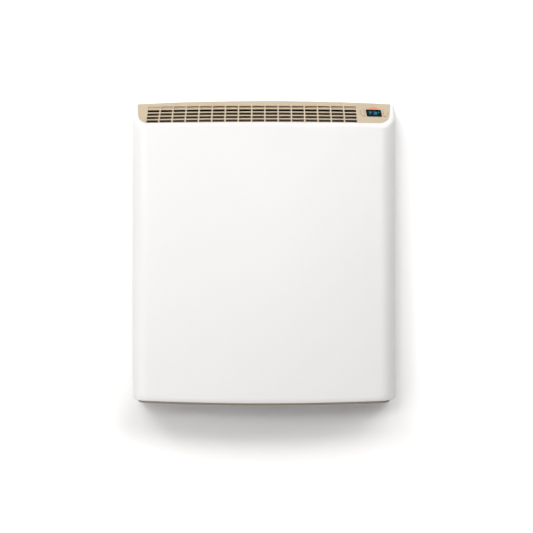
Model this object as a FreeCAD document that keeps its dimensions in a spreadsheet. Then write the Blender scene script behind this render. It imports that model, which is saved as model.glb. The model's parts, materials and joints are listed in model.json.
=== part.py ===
import FreeCAD, Part
import math
import os
import Sketcher
from types import SimpleNamespace

# Frame: X to the viewer's right, Y into the wall (wall face at 0), Z up, origin mid between the wall screws
SIZES = {
    # casing, millimetres and degrees
    "case_width": 485.6,
    "case_top": 277.5,
    "case_bottom": 273.8,
    "case_depth": 56.0,
    "wall_gap": 10.0,
    "bow_rise": 12.574,
    "corner_radius": 35.0,
    "top_arch_radius": 7100.0,
    "bottom_arch_radius": 8500.0,
    "slope_angle": 36.0,
    "top_depth": 16.5,
    "top_corner": 8.0,
    "corner_ease": 1.15,
    "crease_radius": 8.0,
    "lip_radius": 2.5,
    "lip_sweep": 20.0,
    "lip_band": 8.6,
    "cover_wall": 2.5,
    "fit_gap": 0.3,
    "cover_boss_radius": 4.5,
    "cover_boss_inset": 18.3,
    "cover_boss_top_drop": 72.0,
    "cover_boss_mid_drop": 110.0,
    "cover_boss_low_rise": 28.0,
    "pilot_radius": 1.5,
    "pilot_depth": 12.0,
    # outlet grille
    "insert_side": 7.8,
    "insert_drop": 45.4,
    "insert_lean": 9.1,
    "insert_corner": 21.6,
    "grille_wall": 3.2,
    "slot_left": 29.1,
    "slot_right": 73.8,
    "slot_bar": 2.4,
    "slot_height": 4.85,
    "slot_row_pitch": 7.23,
    "slot_row_drop": 12.9,
    "slot_columns": 16,
    "slot_rows": 5,
    "hanger_reach": 25.5,
    "hanger_bow": 5800.0,
    "hanger_wall": 1.5,
    "hanger_drop": 15.8,
    "tab_width": 24.0,
    "tab_reach": 5.0,
    "tab_thickness": 1.5,
    "tab_pitch": 80.0,
    "tab_count": 5,
    # inlet grille
    "inlet_side": 10.9,
    "inlet_setback": 7.0,
    "inlet_corner": 25.0,
    "inlet_drop": 4.35,
    "inlet_wall": 2.0,
    "inlet_flange": 1.5,
    "inlet_flange_wall": 1.5,
    "inlet_rear": 10.0,
    "inlet_bar": 3.9,
    "inlet_end": 28.6,
    "inlet_slot_depth": 4.5,
    "inlet_slot_row": 7.5,
    "inlet_slot_inset": 4.0,
    "inlet_columns": 16,
    "inlet_rows": 3,
    # rear panel
    "panel_wall": 2.0,
    "panel_corner": 9.5,
    "rim_depth": 8.0,
    "rim_wall": 1.6,
    "rim_inset": 1.0,
    "rim_rise": 14.0,
    "rim_top_drop": 60.0,
    "rib_width": 3.0,
    "rib_height": 1.2,
    "rib_length": 300.0,
    "rib_pitch": 45.0,
    "rib_count": 5,
    "screw_hole_radius": 1.9,
    # wall clips
    "clip_edge": 62.8,
    "clip_spread_z": 400.0,
    "clip_width": 34.0,
    "clip_height": 44.0,
    "clip_corner": 5.0,
    "clip_hole_radius": 2.6,
    "clip_bore_radius": 5.5,
    "clip_bore_depth": 4.0,
    "arm_width": 14.0,
    "arm_height": 5.0,
    "arm_rise": 9.0,
    "tongue_rise": 10.0,
    "tongue_depth": 2.6,
    "rest_gap": 0.1,
    "hook_margin": 1.0,
    # heating stack
    "stack_left": 52.8,
    "stack_right": 104.8,
    "stack_row": 130.0,
    "stack_margin": 11.0,
    "stack_boss_radius": 5.0,
    "stack_boss_height": 6.0,
    "shield_wall": 0.8,
    "shield_side": 12.0,
    "shield_rise": 40.0,
    "insulator_radius": 6.0,
    "insulator_height": 9.5,
    "board_wall": 2.0,
    "ribbon_width": 6.0,
    "ribbon_side": 43.0,
    "ribbon_wall": 0.5,
    "ribbon_half_height": 100.0,
    "ribbon_runs": 12,
    "ribbon_return": 14.0,
    "ribbon_tail": 34.0,
    "spacer_radius": 4.5,
    "spacer_height": 10.0,
    "baffle_wall": 0.8,
    "stack_screw_radius": 1.9,
    "stack_screw_head": 4.0,
    "screw_head_height": 2.0,
    "screw_gap": 0.2,
    "recess_length": 3.4,
    "recess_width": 0.9,
    "recess_depth": 1.3,
    "terminal_width": 8.0,
    "terminal_length": 20.0,
    "terminal_wall": 0.8,
    # controls in the sloping end of the grille
    "pod_inset": 41.3,
    "pod_drop": 24.2,
    "window_width": 28.0,
    "window_height": 18.9,
    "window_corner": 2.5,
    "flange_width": 0.5,
    "flange_wall": 0.8,
    "flange_gap": 0.2,
    "lamp_width": 12.2,
    "lamp_height": 4.2,
    "lamp_rise": 13.4,
    "lamp_shift": 1.0,
    "lamp_proud": 0.1,
    "lamp_chip": 2.8,
    "lamp_chip_wall": 0.7,
    "window_recess": 0.1,
    "display_wall": 2.0,
    "display_margin": 0.6,
    "button_offset": 18.0,
    "button_radius": 9.3,
    "button_depth": 6.9,
    "button_gap": 0.6,
    "button_flange": 1.1,
    "button_proud": 0.5,
    "button_travel": 0.6,
    "switch_width": 6.0,
    "switch_height": 1.3,
    "plunger_radius": 1.7,
    "plunger_height": 0.4,
    "control_depth": 6.6,
    "control_wall": 1.2,
    "control_half_width": 25.5,
    "control_low": 15.7,
    "control_high": 15.0,
    "control_boss_radius": 2.2,
    "control_boss_edge": 2.5,
    "control_boss_pull": 7.8,
    "control_screw_radius": 0.9,
    "control_screw_head": 1.8,
    "control_head_height": 1.0,
    "tray_gap": 1.3,
    "tray_rim": 0.3,
    "tray_wall": 1.2,
    "tray_floor": 9.2,
    # power side
    "partition_edge": 70.3,
    "partition_wall": 1.0,
    "partition_reach": 36.0,
    "partition_foot": 14.0,
    "partition_low": 160.0,
    "partition_high": 185.0,
    "partition_row": 120.0,
    "lead_hole_radius": 3.0,
    "power_edge": 25.3,
    "power_width": 42.0,
    "power_margin": 12.0,
    "power_height": 120.0,
    "power_wall": 1.6,
    "post_height": 6.0,
    "post_radius": 3.2,
    "post_inset": 4.5,
    "small_screw_radius": 1.3,
    "small_screw_head": 2.6,
    "relay_width": 16.0,
    "relay_height": 20.0,
    "relay_depth": 14.0,
    "relay_left": 3.5,
    "relay_rise": 88.0,
    "supply_width": 26.0,
    "supply_height": 34.0,
    "supply_depth": 13.0,
    "supply_left": 10.5,
    "supply_rise": 48.0,
    "capacitor_radius": 4.5,
    "capacitor_depth": 12.0,
    "capacitor_left": 35.0,
    "capacitor_rise": 92.0,
    "block_width": 24.0,
    "block_height": 28.0,
    "block_depth": 16.0,
    "block_left": 2.0,
    "lead_radius": 1.3,
    "socket_width": 10.0,
    "socket_height": 9.0,
    "socket_rise": 110.0,
    "cable_radius": 2.0,
    "cutout_radius": 8.0,
    "cutout_depth": 7.0,
    "cutout_flange": 12.0,
    "cutout_plate": 1.2,
    "cutout_x": 60.0,
    "sensor_left": 30.0,
    "sensor_radius": 2.2,
    "sensor_length": 16.0,
    "sensor_rise": 20.0,
    "sensor_lead_radius": 0.7,
    "holder_wall": 3.0,
    "holder_height": 8.0,
    "gland_edge": 27.8,
    "gland_rise": 61.9,
    "gland_radius": 6.5,
    "gland_bore": 4.0,
    "gland_collar_radius": 9.0,
    "gland_collar": 2.5,
    "gland_nose": 8.0,
}


class Size:
    """A value with the formula that ties it to the sheet."""

    def __init__(self, text, value):
        self.text = text
        self.value = float(value)

    @staticmethod
    def of(other):
        return other if isinstance(other, Size) else Size(repr(float(other)), other)

    def join(self, sign, other, value):
        return Size(f"({self.text} {sign} {other.text})", value)

    def __add__(self, other):
        other = Size.of(other)
        return self.join("+", other, self.value + other.value)

    def __sub__(self, other):
        other = Size.of(other)
        return self.join("-", other, self.value - other.value)

    def __mul__(self, other):
        other = Size.of(other)
        return self.join("*", other, self.value * other.value)

    def __truediv__(self, other):
        other = Size.of(other)
        return self.join("/", other, self.value / other.value)

    def __radd__(self, other):
        return Size.of(other) + self

    def __rsub__(self, other):
        return Size.of(other) - self

    def __rmul__(self, other):
        return Size.of(other) * self

    def __neg__(self):
        return Size(f"(0 - {self.text})", -self.value)


def root(size):
    return Size(f"sqrt({size.text})", math.sqrt(size.value))


def sine(angle):
    return Size(f"sin({angle.text})", math.sin(math.radians(angle.value)))


def cosine(angle):
    return Size(f"cos({angle.text})", math.cos(math.radians(angle.value)))


def tangent(angle):
    return Size(f"tan({angle.text})", math.tan(math.radians(angle.value)))


ZERO = Size("0", 0.0)
RIGHT_ANGLE = Size("90", 90.0)

doc = FreeCAD.newDocument("panel_heater")
sheet = doc.addObject("Spreadsheet::Sheet", "dims")
for row, (word, number) in enumerate(SIZES.items(), start=1):
    sheet.set(f"A{row}", word)
    sheet.set(f"B{row}", str(number))
    sheet.setAlias(f"B{row}", word)
doc.recompute()
d = SimpleNamespace(**{word: Size(f"dims.{word}", number) for word, number in SIZES.items()})


# Sketch and feature helpers
def new_body(label):
    body = doc.addObject("PartDesign::Body", label)
    body.Label = label
    return body


def sketch_on(body, role, offset=ZERO):
    plane = next(item for item in body.Origin.OriginFeatures if item.Role == role)
    sketch = body.newObject("Sketcher::SketchObject", body.Name + "_sketch")
    sketch.AttachmentSupport = [(plane, "")]
    sketch.MapMode = "FlatFace"
    sketch.setExpression("AttachmentOffset.Base.z", offset.text)
    return sketch


def hold(sketch, kind, geometry, point, size):
    if point is None:
        index = sketch.addConstraint(Sketcher.Constraint(kind, geometry, size.value))
    else:
        index = sketch.addConstraint(Sketcher.Constraint(kind, geometry, point, size.value))
    sketch.setExpression(f"Constraints[{index}]", size.text)


def arc_between(start, end, radius):
    """Minor arc from start to end with its centre on the left of the way."""
    middle = (start + end) * 0.5
    chord = end - start
    rise = math.sqrt(max(radius * radius - chord.Length * chord.Length / 4, 0.0))
    left = FreeCAD.Vector(-chord.y, chord.x, 0).normalize()
    centre = middle + left * rise
    first = math.atan2(start.y - centre.y, start.x - centre.x)
    last = math.atan2(end.y - centre.y, end.x - centre.x)
    circle = Part.Circle(centre, FreeCAD.Vector(0, 0, 1), radius)
    return Part.ArcOfCircle(circle, first, last)


def draw(sketch, corners, bends=None, dents=None):
    """Closed outline, counter-clockwise; edges in bends are arcs that bulge out, those in dents bulge in."""
    bends = bends or {}
    dents = dents or {}
    points = [FreeCAD.Vector(x.value, y.value, 0) for x, y in corners]
    edges = []
    for number, start in enumerate(points):
        end = points[(number + 1) % len(points)]
        if number in bends:
            edges.append((sketch.addGeometry(arc_between(start, end, bends[number].value)), 1, 2))
        elif number in dents:
            edges.append((sketch.addGeometry(arc_between(end, start, dents[number].value)), 2, 1))
        else:
            edges.append((sketch.addGeometry(Part.LineSegment(start, end)), 1, 2))
    radii = {**bends, **dents}
    for number, (edge, first, last) in enumerate(edges):
        following, following_first, following_last = edges[(number + 1) % len(edges)]
        sketch.addConstraint(Sketcher.Constraint("Coincident", edge, last, following, following_first))
        x, y = corners[number]
        hold(sketch, "DistanceX", edge, first, x)
        hold(sketch, "DistanceY", edge, first, y)
        if number in radii:
            hold(sketch, "Radius", edge, None, radii[number])


def rectangle(sketch, x0, x1, y0, y1):
    draw(sketch, [(x0, y0), (x1, y0), (x1, y1), (x0, y1)])


def rounded(sketch, x0, x1, y0, y1, radius):
    corners = [
        (x0 + radius, y0), (x1 - radius, y0), (x1, y0 + radius), (x1, y1 - radius),
        (x1 - radius, y1), (x0 + radius, y1), (x0, y1 - radius), (x0, y0 + radius),
    ]
    draw(sketch, corners, {1: radius, 3: radius, 5: radius, 7: radius})


def ring(sketch, x, y, radius):
    circle = Part.Circle(FreeCAD.Vector(x.value, y.value, 0), FreeCAD.Vector(0, 0, 1), radius.value)
    index = sketch.addGeometry(circle)
    hold(sketch, "DistanceX", index, 3, x)
    hold(sketch, "DistanceY", index, 3, y)
    hold(sketch, "Radius", index, None, radius)


def pad(body, sketch, length):
    """Grow along the sketch's normal; for an elevation sketch that is out of the wall."""
    feature = body.newObject("PartDesign::Pad", body.Name + "_pad")
    feature.Profile = sketch
    feature.setExpression("Length", length.text)
    return feature


def pocket(body, sketch, length):
    """Cut along the sketch's normal, the same way a pad grows."""
    feature = body.newObject("PartDesign::Pocket", body.Name + "_pocket")
    feature.Profile = sketch
    feature.Reversed = True
    feature.setExpression("Length", length.text)
    return feature


def along(sketch, direction, pitch, count, body, feature):
    """One direction of a pattern of feature; returns the pattern."""
    pattern = body.newObject("PartDesign::LinearPattern", body.Name + "_pattern")
    pattern.Originals = [feature]
    pattern.Direction = (sketch, [direction])
    pattern.Mode = "Spacing"
    pattern.setExpression("Offset", pitch.text)
    pattern.setExpression("Occurrences", count.text)
    body.Tip = pattern
    return pattern


def grid(sketch, body, feature, pitch_x, count_x, pitch_y, count_y, flip_y=False):
    """Rows and columns of feature along the sketch's own two axes."""
    multi = body.newObject("PartDesign::MultiTransform", body.Name + "_grid")
    steps = []
    for axis, pitch, count in (("H_Axis", pitch_x, count_x), ("V_Axis", pitch_y, count_y)):
        step = body.newObject("PartDesign::LinearPattern", body.Name + "_step")
        step.Direction = (sketch, [axis])
        step.Reversed = flip_y and axis == "V_Axis"
        step.Mode = "Spacing"
        step.setExpression("Offset", pitch.text)
        step.setExpression("Occurrences", count.text)
        steps.append(step)
    multi.Originals = [feature]
    multi.Transformations = steps
    body.Tip = multi
    return multi


def boolean(kind, label, first, *others):
    """Cut, Fuse or Common of finished pieces."""
    if kind == "Cut":
        tool = others[0] if len(others) == 1 else boolean("Fuse", label + "_tools", *others)
        feature = doc.addObject("Part::Cut", label)
        feature.Base = first
        feature.Tool = tool
    else:
        feature = doc.addObject("Part::Multi" + kind, label)
        feature.Shapes = [first, *others]
    feature.Label = label
    return feature


# Derived positions shared by several pieces
half_width = d.case_width / 2
front_reach = d.wall_gap + d.case_depth
bow_radius = (half_width * half_width + d.bow_rise * d.bow_rise) / (d.bow_rise * 2)
bow_centre = bow_radius - front_reach
bend_height = d.case_top - (d.case_depth - d.top_depth) / tangent(d.slope_angle)
panel_front = d.wall_gap + d.panel_wall
insert_half = half_width - d.insert_side
insert_bottom = d.case_top - d.insert_drop
margin = Size("20", 20.0)


def plan(sketch, half, inset, corner, rear):
    """Casing outline seen from above: bowed front, round corners, straight back."""
    core = bow_radius - inset - corner
    centre_x = half - corner
    centre_y = bow_centre - root(core * core - centre_x * centre_x)
    swing = (bow_radius - inset) / core
    touch_x = centre_x * swing
    touch_y = bow_centre - (bow_centre - centre_y) * swing
    corners = [
        (-half, rear), (-half, centre_y), (-touch_x, touch_y),
        (touch_x, touch_y), (half, centre_y), (half, rear),
    ]
    draw(sketch, corners, {1: corner, 2: bow_radius - inset, 3: corner})


def arch_sag(radius, x):
    return radius - root(radius * radius - x * x)


def arch_height(radius, crown, x):
    """Height at x of an arch that bulges up to crown."""
    return crown - radius + root(radius * radius - x * x)


def below_arch(sketch, drop):
    """All that lies below the long bottom arch, let down by drop."""
    reach = half_width + margin
    foot = d.case_bottom + drop
    radius = d.bottom_arch_radius + drop
    edge = -arch_height(radius, foot, reach)
    low = -foot - margin * 2
    draw(sketch, [(reach, low), (reach, edge), (-reach, edge), (-reach, low)], dents={1: radius})


def cut_arches(body, inset):
    """Trim a casing block to its long top and bottom arches and round its upper corners."""
    reach = half_width + margin
    side = half_width - inset
    turn = d.top_corner - inset
    crown = d.case_top - inset
    top_radius = d.top_arch_radius - inset
    top_edge = arch_height(top_radius, crown, side - turn)
    high = crown + margin * 2
    sketch = sketch_on(body, "XZ_Plane", -margin)
    above = [
        (-reach, high), (-reach, top_edge - turn), (-side, top_edge - turn), (turn - side, top_edge),
        (side - turn, top_edge), (side, top_edge - turn), (reach, top_edge - turn), (reach, high),
    ]
    soft_turn = turn * d.corner_ease
    draw(sketch, above, dents={2: soft_turn, 3: top_radius, 4: soft_turn})
    below_arch(sketch, d.lip_sweep - d.lip_band - inset)
    pocket(body, sketch, front_reach + margin * 2)


def surface_kind(face):
    surface = face.Surface
    name = type(surface).__name__
    if name in ("Cylinder", "Plane"):
        axis = surface.Axis
        name += max("XYZ", key=lambda letter: abs(getattr(axis, letter.lower())))
    return name


def edges_between(shape, chosen):
    """Names of the edges whose two surface kinds pass the test."""
    names = []
    for number, edge in enumerate(shape.Edges, start=1):
        kinds = sorted(surface_kind(face) for face in shape.ancestorsOfType(edge, Part.Face))
        if chosen(kinds, edge):
            names.append(f"Edge{number}")
    return names


def round_edges(body, radius, chosen):
    doc.recompute()
    base = body.Tip
    feature = body.newObject("PartDesign::Fillet", body.Name + "_fillet")
    feature.Base = (base, edges_between(base.Shape, chosen))
    feature.setExpression("Radius", radius.text)
    return feature


def crease(kinds, edge):
    return "Cone" in kinds and "CylinderY" not in kinds and "PlaneY" not in kinds


def lower_edge(kinds, edge):
    return "CylinderY" in kinds and "PlaneY" not in kinds and edge.BoundBox.ZMax < 0


def envelope(label, inset, rear, lip=None):
    """The casing's outer form, or the same form shrunk by inset; lip rounds its lower edge."""
    body = new_body(label)
    sketch = sketch_on(body, "XY_Plane", -(d.case_bottom + d.lip_sweep))
    plan(sketch, half_width - inset, inset, d.corner_radius - inset, rear)
    pad(body, sketch, d.case_bottom + d.lip_sweep + d.case_top + margin)
    cut_arches(body, inset)
    slope = sketch_on(body, "YZ_Plane")
    lean = tangent(d.slope_angle)
    front = inset - front_reach
    bend = bend_height - inset * tangent(d.slope_angle / 2)
    high = d.case_top + margin
    corners = [
        (front - margin, bend - margin / lean),
        (front + (high - bend) * lean, high),
        (front - margin, high),
    ]
    draw(slope, corners)
    axis_foot = FreeCAD.Vector(bow_centre.value, 0, 0)
    axis_head = FreeCAD.Vector(bow_centre.value, margin.value, 0)
    line = slope.addGeometry(Part.LineSegment(axis_foot, axis_head), True)
    for end, height in ((1, ZERO), (2, margin)):
        hold(slope, "DistanceX", line, end, bow_centre)
        hold(slope, "DistanceY", line, end, height)
    groove = body.newObject("PartDesign::Groove", label + "_slope")
    groove.Profile = slope
    groove.ReferenceAxis = (slope, ["Axis0"])
    groove.Angle = 40
    groove.Midplane = True
    round_edges(body, d.crease_radius - inset, crease)
    round_edges(body, d.lip_sweep - inset, lower_edge)
    foot = sketch_on(body, "XZ_Plane", -margin)
    below_arch(foot, -inset)
    pocket(body, foot, front_reach + margin * 2)
    if lip:
        round_edges(body, lip, lower_edge)
    return body


def elevation(label, start, length, *loops):
    """Prism out of the wall from a reach, each loop a drawing call with its arguments."""
    body = new_body(label)
    grow(body, start, length, *loops)
    return body


def grow(body, start, length, *loops):
    sketch = sketch_on(body, "XZ_Plane", start)
    for shape, *arguments in loops:
        shape(sketch, *arguments)
    return pad(body, sketch, length)


def bore(body, start, length, *loops):
    sketch = sketch_on(body, "XZ_Plane", start)
    for shape, *arguments in loops:
        shape(sketch, *arguments)
    return pocket(body, sketch, length)


def rings(points, radius):
    return [(ring, x, z, radius) for x, z in points]


def cross(sketch, x, z):
    """Recess for a cross-head driver."""
    far = d.recess_length / 2
    near = d.recess_width / 2
    corners = [
        (x - near, z - far), (x + near, z - far), (x + near, z - near), (x + far, z - near),
        (x + far, z + near), (x + near, z + near), (x + near, z + far), (x - near, z + far),
        (x - near, z + near), (x - far, z + near), (x - far, z - near), (x - near, z - near),
    ]
    draw(sketch, corners)


def drive(body, start, points):
    """Cut the driver's recess into each screw head."""
    bore(body, start, d.recess_depth, *[(cross, x, z) for x, z in points])


def mirrored(x, heights):
    return [(side, z) for side in (-x, x) for z in heights]


# Casing shells
outer_form = envelope("outer_form", ZERO, -d.wall_gap, d.lip_radius)
inner_form = envelope("inner_form", d.cover_wall, ZERO)
tab_outer_form = envelope("tab_outer_form", d.cover_wall + d.fit_gap, ZERO)
tab_inner_form = envelope("tab_inner_form", d.cover_wall + d.fit_gap + d.tab_thickness, ZERO)
grille_inner_form = envelope("grille_inner_form", d.grille_wall, ZERO)

boss_x = half_width - d.cover_boss_inset
boss_heights = [
    d.cover_boss_low_rise - d.case_bottom,
    -d.cover_boss_mid_drop,
    d.case_top - d.cover_boss_top_drop,
]
boss_points = mirrored(boss_x, boss_heights)
cover_bosses = elevation("cover_bosses", panel_front, front_reach, *rings(boss_points, d.cover_boss_radius))
cover_pilots = elevation(
    "cover_pilots", panel_front - margin, margin + d.pilot_depth, *rings(boss_points, d.pilot_radius),
)


def insert_outline(sketch, gap):
    """Opening for the grille: sides that lean in towards the foot, large lower corners."""
    lean = tangent(d.insert_lean)
    half = insert_half - gap / cosine(d.insert_lean)
    low = insert_bottom + gap
    high = d.case_top + margin
    foot = half - (d.case_top - low) * lean
    turn = d.insert_corner - gap
    run = turn * tangent((RIGHT_ANGLE - d.insert_lean) / 2)
    side = foot + run * sine(d.insert_lean)
    rise = low + run * cosine(d.insert_lean)
    head = half + margin * lean
    corners = [
        (run - foot, low), (foot - run, low), (side, rise),
        (head, high), (-head, high), (-side, rise),
    ]
    draw(sketch, corners, {1: turn, 5: turn})


insert_opening = elevation("insert_opening", -margin, front_reach + margin * 2, (insert_outline, ZERO))
inlet_half = half_width - d.inlet_side
inlet_back = -(panel_front + d.inlet_rear)
inlet_opening = new_body("inlet_opening")
opening_sketch = sketch_on(inlet_opening, "XY_Plane", -(d.case_bottom + margin))
plan(
    opening_sketch, inlet_half + d.fit_gap, d.inlet_setback - d.fit_gap,
    d.inlet_corner + d.fit_gap, inlet_back + d.fit_gap,
)
pad(inlet_opening, opening_sketch, margin * 2)

hollow = boolean("Cut", "hollow", inner_form, cover_bosses)
front_cover = boolean("Cut", "front_cover", outer_form, hollow, insert_opening, inlet_opening, cover_pilots)

# Outlet grille: flush skin in the opening, five rows of slots, spring tabs behind the cover
grille_outline = elevation("grille_outline", -margin, front_reach + margin * 2, (insert_outline, d.fit_gap))
skin = boolean("Cut", "skin", outer_form, grille_inner_form)
grille_skin = boolean("Common", "grille_skin", skin, grille_outline)
tab_shell = boolean("Cut", "tab_shell", tab_outer_form, tab_inner_form)
tab_prism = new_body("tab_prism")
tab_sketch = sketch_on(tab_prism, "XZ_Plane", panel_front + d.case_depth / 2)
tab_first = -d.tab_pitch * (d.tab_count - 1) / 2
rectangle(
    tab_sketch, tab_first - d.tab_width / 2, tab_first + d.tab_width / 2,
    insert_bottom - d.tab_reach, insert_bottom + d.tab_reach,
)
tab_pad = pad(tab_prism, tab_sketch, d.case_depth)
along(tab_sketch, "H_Axis", d.tab_pitch, d.tab_count, tab_prism, tab_pad)
grille_tabs = boolean("Common", "grille_tabs", tab_shell, tab_prism)

slot_start = d.slot_left - half_width
slot_pitch = (d.case_width - d.slot_left - d.slot_right + d.slot_bar) / d.slot_columns
slot_width = slot_pitch - d.slot_bar
slot_row = d.case_top - d.slot_row_drop
grille_slots = new_body("grille_slots")
slot_sketch = sketch_on(grille_slots, "XZ_Plane", -margin)
rectangle(
    slot_sketch, slot_start, slot_start + slot_width,
    slot_row - d.slot_height / 2, slot_row + d.slot_height / 2,
)
slot_pad = pad(grille_slots, slot_sketch, front_reach + margin * 2)
grid(slot_sketch, grille_slots, slot_pad, slot_pitch, d.slot_columns, d.slot_row_pitch, d.slot_rows, True)

# Control frame on the slope: local X along the bow, Z up the slope, Y into the casing
pod_x = half_width - d.pod_inset
pod_z = d.case_top - d.pod_drop
pod_ring = bow_radius - (pod_z - bend_height) * tangent(d.slope_angle)
pod_y = bow_centre - root(pod_ring * pod_ring - pod_x * pod_x)
pod_swing = f"asin({pod_x.text} / {pod_ring.text})"


def on_pod(piece):
    piece.setExpression(
        "Placement",
        f"placement(vector({pod_x.text}; {pod_y.text}; {pod_z.text}); "
        f"rotation({pod_swing}; 0; 0 - dims.slope_angle))",
    )
    return piece


def pod_piece(label, start, length, *loops):
    """Prism into the casing, from a depth under the sloping surface."""
    return on_pod(elevation(label, -(start + length), length, *loops))


def pod_grow(body, start, length, *loops):
    return grow(body, -(start + length), length, *loops)


def window(sketch, gap):
    across = d.window_width / 2 + gap
    rise = d.window_height / 2 + gap
    rounded(sketch, -across, across, -rise, rise, d.window_corner + gap)


def lamp(sketch, gap):
    across = d.lamp_width / 2 + gap
    rise = d.lamp_height / 2 + gap
    rectangle(sketch, d.lamp_shift - across, d.lamp_shift + across, d.lamp_rise - rise, d.lamp_rise + rise)


def button(sketch, side, gap):
    """Part of a disc with its straight side towards the display."""
    radius = d.button_radius + gap
    flat = d.button_offset - gap
    centre = d.button_offset + d.button_depth - d.button_radius
    rise = root(radius * radius - (flat - centre) * (flat - centre))
    tip = centre + radius
    corners = [(flat * side, -rise * side), (tip * side, ZERO), (flat * side, rise * side)]
    draw(sketch, corners, {0: radius, 1: radius})


under_wall = d.grille_wall + d.flange_gap
pod_openings = pod_piece(
    "pod_openings", -d.grille_wall * 2, d.grille_wall * 4,
    (window, d.fit_gap), (lamp, d.fit_gap), (button, -1, d.button_gap), (button, 1, d.button_gap),
)
control_x = d.control_half_width - d.control_boss_edge
control_points = mirrored(control_x, [d.control_high - d.control_boss_edge])
control_points += mirrored(control_x - d.control_boss_pull, [d.control_boss_edge - d.control_low])
control_hole = d.control_screw_radius + d.screw_gap
boss_start = d.grille_wall - d.fit_gap
control_bosses = pod_piece(
    "control_bosses", boss_start, d.control_depth - boss_start, *rings(control_points, d.control_boss_radius),
)
control_pilots = pod_piece(
    "control_pilots", d.grille_wall, d.control_depth, *rings(control_points, control_hole),
)
grille_solid = boolean("Fuse", "grille_solid", grille_skin, grille_tabs, control_bosses)
grille_cut = boolean("Cut", "grille_cut", grille_solid, grille_slots, pod_openings, control_pilots)

# Strip that hangs from the top behind the first row and keeps the warm air off the wall
hanger_end = slot_start + slot_pitch * d.slot_columns - d.slot_bar
hanger_back = arch_sag(d.hanger_bow, slot_start) - d.hanger_reach
hanger_turn = arch_sag(d.hanger_bow, hanger_end) - d.hanger_reach
hanger_block = new_body("hanger_block")
hanger_sketch = sketch_on(hanger_block, "XY_Plane", d.case_top - d.hanger_drop)
hanger_plan = [
    (slot_start, hanger_back - d.hanger_wall), (hanger_end, hanger_turn - d.hanger_wall),
    (hanger_end, hanger_turn), (slot_start, hanger_back),
]
draw(hanger_sketch, hanger_plan, {0: d.hanger_bow}, {2: d.hanger_bow})
pad(hanger_block, hanger_sketch, d.hanger_drop)
hanger = boolean("Common", "hanger", hanger_block, outer_form)
outlet_grille = boolean("Fuse", "outlet_grille", grille_cut, hanger)

# Inlet grille: slotted tray that hangs a little below the cover's lip
floor_drop = d.case_bottom + d.inlet_drop
floor_radius = d.bottom_arch_radius + d.inlet_drop
floor_top = arch_sag(floor_radius, inlet_half) + d.inlet_wall - floor_drop
ledge = arch_sag(d.bottom_arch_radius, half_width) + d.cover_wall + d.fit_gap * 2 - d.case_bottom
inlet_grille = new_body("inlet_grille")
inlet_sketch = sketch_on(inlet_grille, "XY_Plane", -(floor_drop + margin))
plan(inlet_sketch, inlet_half, d.inlet_setback, d.inlet_corner, inlet_back)
pad(inlet_grille, inlet_sketch, floor_drop + margin + ledge + d.inlet_flange_wall)
flange_sketch = sketch_on(inlet_grille, "XY_Plane", ledge)
flange_setback = d.inlet_setback - d.inlet_flange
plan(flange_sketch, inlet_half + d.inlet_flange, flange_setback, d.inlet_corner, inlet_back)
pad(inlet_grille, flange_sketch, d.inlet_flange_wall)
keel_sketch = sketch_on(inlet_grille, "XZ_Plane", -margin)
keel_side = half_width + margin
keel_edge = arch_sag(floor_radius, keel_side) - floor_drop
keel_low = -(floor_drop + margin * 2)
keel = [(keel_side, keel_low), (keel_side, keel_edge), (-keel_side, keel_edge), (-keel_side, keel_low)]
draw(keel_sketch, keel, dents={1: floor_radius})
pocket(inlet_grille, keel_sketch, front_reach + margin * 2)
tray_sketch = sketch_on(inlet_grille, "XY_Plane", floor_top)
plan(
    tray_sketch, inlet_half - d.inlet_wall, d.inlet_setback + d.inlet_wall,
    d.inlet_corner - d.inlet_wall, inlet_back - d.inlet_wall,
)
pocket(inlet_grille, tray_sketch, margin)
inlet_pitch = (inlet_half - d.inlet_end) * 2 / d.inlet_columns
inlet_first = d.inlet_end - inlet_half
vent_sketch = sketch_on(inlet_grille, "XY_Plane", -(floor_drop + margin))
vent_back = inlet_back - d.inlet_slot_inset
rectangle(
    vent_sketch, inlet_first + d.inlet_bar / 2, inlet_first + inlet_pitch - d.inlet_bar / 2,
    vent_back - d.inlet_slot_depth, vent_back,
)
vent = pocket(inlet_grille, vent_sketch, margin * 2)
grid(vent_sketch, inlet_grille, vent, inlet_pitch, d.inlet_columns, d.inlet_slot_row, d.inlet_rows, True)

# Stack of shield, heating board and baffle on six common screws
stack_left = d.stack_left - half_width
stack_right = half_width - d.stack_right
stack_points = [(x, z) for x in (stack_left, stack_right) for z in (-d.stack_row, ZERO, d.stack_row)]
stack_hole = d.stack_screw_radius + d.screw_gap
shield_back = panel_front + d.stack_boss_height
shield_front = shield_back + d.shield_wall
board_back = shield_front + d.insulator_height
board_front = board_back + d.board_wall
baffle_back = board_front + d.spacer_height
baffle_front = baffle_back + d.baffle_wall
board_half = d.stack_row + d.stack_margin
board_left = stack_left - d.stack_margin
board_right = stack_right + d.stack_margin
shield_left = board_left - d.shield_side
shield_right = board_right + d.shield_side

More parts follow.
